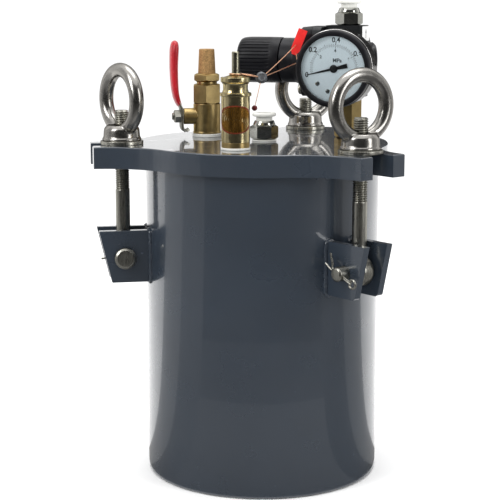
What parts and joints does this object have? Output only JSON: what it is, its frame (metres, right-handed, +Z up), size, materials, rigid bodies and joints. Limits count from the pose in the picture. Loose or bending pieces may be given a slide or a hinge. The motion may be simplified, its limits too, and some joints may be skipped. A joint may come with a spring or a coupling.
{
  "type": "resin pressure pot",
  "caption": "Bench pressure pot for resin casting: painted steel tank, flat lid clamped by swing bolts with eye nuts, with ball valve, relief valve, outlet, regulator and gauge.",
  "frame": {"origin": "middle of the tank's underside, on the surface it stands on", "axes": "+Z up along the tank's axis; -Y is the front, with the relief valve and the right-hand clamping station; the regulator's knob points to -X"},
  "size_m": [0.1735, 0.181, 0.2696],
  "materials": {
    "tank_paint": "gloss",
    "stainless_steel": "satin",
    "polished_steel": "polished",
    "nickel_plate": "polished",
    "gauge_steel": "polished",
    "brass": "satin",
    "polished_brass": "polished",
    "sintered_bronze": "rough",
    "relief_rod_steel": "satin",
    "spring_steel": "satin",
    "black_metal": "satin",
    "black_plastic": "satin",
    "white_plastic": "satin",
    "red_vinyl": "gloss",
    "dial_enamel": "satin",
    "needle_black": "satin",
    "lens_clear": "gloss",
    "black_rubber": "matt",
    "copper_wire": "satin",
    "lead": "satin",
    "red_tag": "satin"
  },
  "bodies": {
    "pot": {"adjusting_spring": "spring_steel", "ball_seats": "white_plastic", "ball_valve_body": "brass", "ball_valve_union": "brass", "base_plate": "tank_paint", "bonnet_screws": "stainless_steel", "bourdon_tube": "brass", "clevis_pins": "stainless_steel", "gauge_bezel": "black_plastic", "gauge_case": "gauge_steel", "gauge_dial": "dial_enamel", "gauge_lens": "lens_clear", "gauge_socket": "brass", "inlet_fitting": "nickel_plate", "lead_seals": "lead", "lid_gasket": "black_rubber", "lid_plate": "tank_paint", "lug_back": "tank_paint", "lug_left": "tank_paint", "lug_right": "tank_paint", "outlet_fitting": "nickel_plate", "regulator_body": "black_metal", "regulator_bonnet": "black_plastic", "regulator_diaphragm": "black_rubber", "regulator_valve_cap": "black_plastic", "relief_spring": "spring_steel", "relief_valve_body": "polished_brass", "relief_valve_cap": "polished_brass", "relief_valve_seat": "brass", "riser_nipple": "brass", "seal_tag": "red_tag", "seal_wire": "copper_wire", "sealing_washers": "white_plastic", "silencer_element": "sintered_bronze", "silencer_fitting": "brass", "split_pins": "stainless_steel", "tank_shell": "tank_paint", "tube_seals": "black_rubber"},
    "swing_left": {"swing_bolt_left": "stainless_steel"},
    "swing_right": {"swing_bolt_right": "stainless_steel"},
    "swing_back": {"swing_bolt_back": "stainless_steel"},
    "washer_left": {"washer_left": "stainless_steel"},
    "washer_right": {"washer_right": "stainless_steel"},
    "washer_back": {"washer_back": "stainless_steel"},
    "eye_nut_left": {"eye_nut_left": "polished_steel"},
    "eye_nut_right": {"eye_nut_right": "polished_steel"},
    "eye_nut_back": {"eye_nut_back": "polished_steel"},
    "valve_lever": {"lever_plate": "stainless_steel", "lever_grip": "red_vinyl", "lever_nut": "stainless_steel", "valve_stem": "stainless_steel", "valve_ball": "polished_steel"},
    "relief_spindle": {"relief_spindle": "relief_rod_steel"},
    "outlet_ring": {"outlet_release_ring": "white_plastic"},
    "inlet_ring": {"inlet_release_ring": "white_plastic"},
    "adjusting_screw": {"adjusting_screw": "stainless_steel"},
    "regulator_knob": {"regulator_knob": "black_plastic"},
    "spring_plate": {"spring_plate": "stainless_steel"},
    "regulator_valve": {"regulator_valve": "brass"},
    "gauge_needle": {"gauge_needle": "needle_black"}
  },
  "joints": [
    {"name": "bolt_swing_left", "type": "hinge", "parent": "pot", "child": "swing_left", "pos_m": [-0.07866, -0.01458, 0.127], "axis": [0.1822, -0.9833, 0], "range_deg": [0, 50]},
    {"name": "nut_back_off_left", "type": "slide", "parent": "swing_left", "child": "washer_left", "axis": [0, 0, 1], "range_m": [0, 0.0132]},
    {"name": "nut_turn_left", "type": "hinge", "parent": "washer_left", "child": "eye_nut_left", "pos_m": [-0.07866, -0.01458, 0.1965], "axis": [0, 0, 1], "continuous": true},
    {"name": "bolt_swing_right", "type": "hinge", "parent": "pot", "child": "swing_right", "pos_m": [0.05196, -0.06083, 0.127], "axis": [0.7604, 0.6494, 0], "range_deg": [0, 50]},
    {"name": "nut_back_off_right", "type": "slide", "parent": "swing_right", "child": "washer_right", "axis": [0, 0, 1], "range_m": [0, 0.0132]},
    {"name": "nut_turn_right", "type": "hinge", "parent": "washer_right", "child": "eye_nut_right", "pos_m": [0.05196, -0.06083, 0.1965], "axis": [0, 0, 1], "continuous": true},
    {"name": "bolt_swing_back", "type": "hinge", "parent": "pot", "child": "swing_back", "pos_m": [0.0267, 0.07541, 0.127], "axis": [-0.9426, 0.3338, 0], "range_deg": [0, 50]},
    {"name": "nut_back_off_back", "type": "slide", "parent": "swing_back", "child": "washer_back", "axis": [0, 0, 1], "range_m": [0, 0.0132]},
    {"name": "nut_turn_back", "type": "hinge", "parent": "washer_back", "child": "eye_nut_back", "pos_m": [0.0267, 0.07541, 0.1965], "axis": [0, 0, 1], "continuous": true},
    {"name": "lever_turn", "type": "hinge", "parent": "pot", "child": "valve_lever", "pos_m": [-0.0325, 0.0288, 0.2023], "axis": [0.9781, 0.2079, 0], "range_deg": [0, 90]},
    {"name": "relief_lift", "type": "slide", "parent": "pot", "child": "relief_spindle", "axis": [0, 0, 1], "range_m": [0, 0.003], "stiffness_N_per_m": 1500, "deforming": ["relief_spring"]},
    {"name": "outlet_ring_press", "type": "slide", "parent": "pot", "child": "outlet_ring", "axis": [0, 0, -1], "range_m": [0, 0.0015], "stiffness_N_per_m": 200},
    {"name": "inlet_ring_press", "type": "slide", "parent": "pot", "child": "inlet_ring", "axis": [0, 0, -1], "range_m": [0, 0.0015], "stiffness_N_per_m": 200},
    {"name": "screw_turn", "type": "hinge", "parent": "pot", "child": "adjusting_screw", "pos_m": [0.05, 0.024, 0.2346], "axis": [0.9563, -0.2924, 0], "range_deg": [0, 1440]},
    {"name": "knob_pull", "type": "slide", "parent": "adjusting_screw", "child": "regulator_knob", "axis": [-0.9563, 0.2924, 0], "range_m": [0, 0.0025]},
    {"name": "spring_plate_travel", "type": "slide", "parent": "pot", "child": "spring_plate", "axis": [0.9563, -0.2924, 0], "range_m": [0, 0.0051], "deforming": ["adjusting_spring"]},
    {"name": "valve_open", "type": "slide", "parent": "pot", "child": "regulator_valve", "axis": [0.9563, -0.2924, 0], "range_m": [0, 0.001], "stiffness_N_per_m": 300},
    {"name": "needle_sweep", "type": "hinge", "parent": "pot", "child": "gauge_needle", "pos_m": [0.05, 0.024, 0.2318], "axis": [0.2924, 0.9563, 0], "range_deg": [0, 214], "stiffness_Nm_per_rad": 0.0004}
  ],
  "couplings": [
    {"joint": "nut_back_off_left", "follows": "bolt_swing_left", "m_per_rad": 0.015},
    {"joint": "nut_back_off_right", "follows": "bolt_swing_right", "m_per_rad": 0.015},
    {"joint": "nut_back_off_back", "follows": "bolt_swing_back", "m_per_rad": 0.015},
    {"joint": "spring_plate_travel", "follows": "screw_turn", "m_per_rad": 0.00019894}
  ]
}
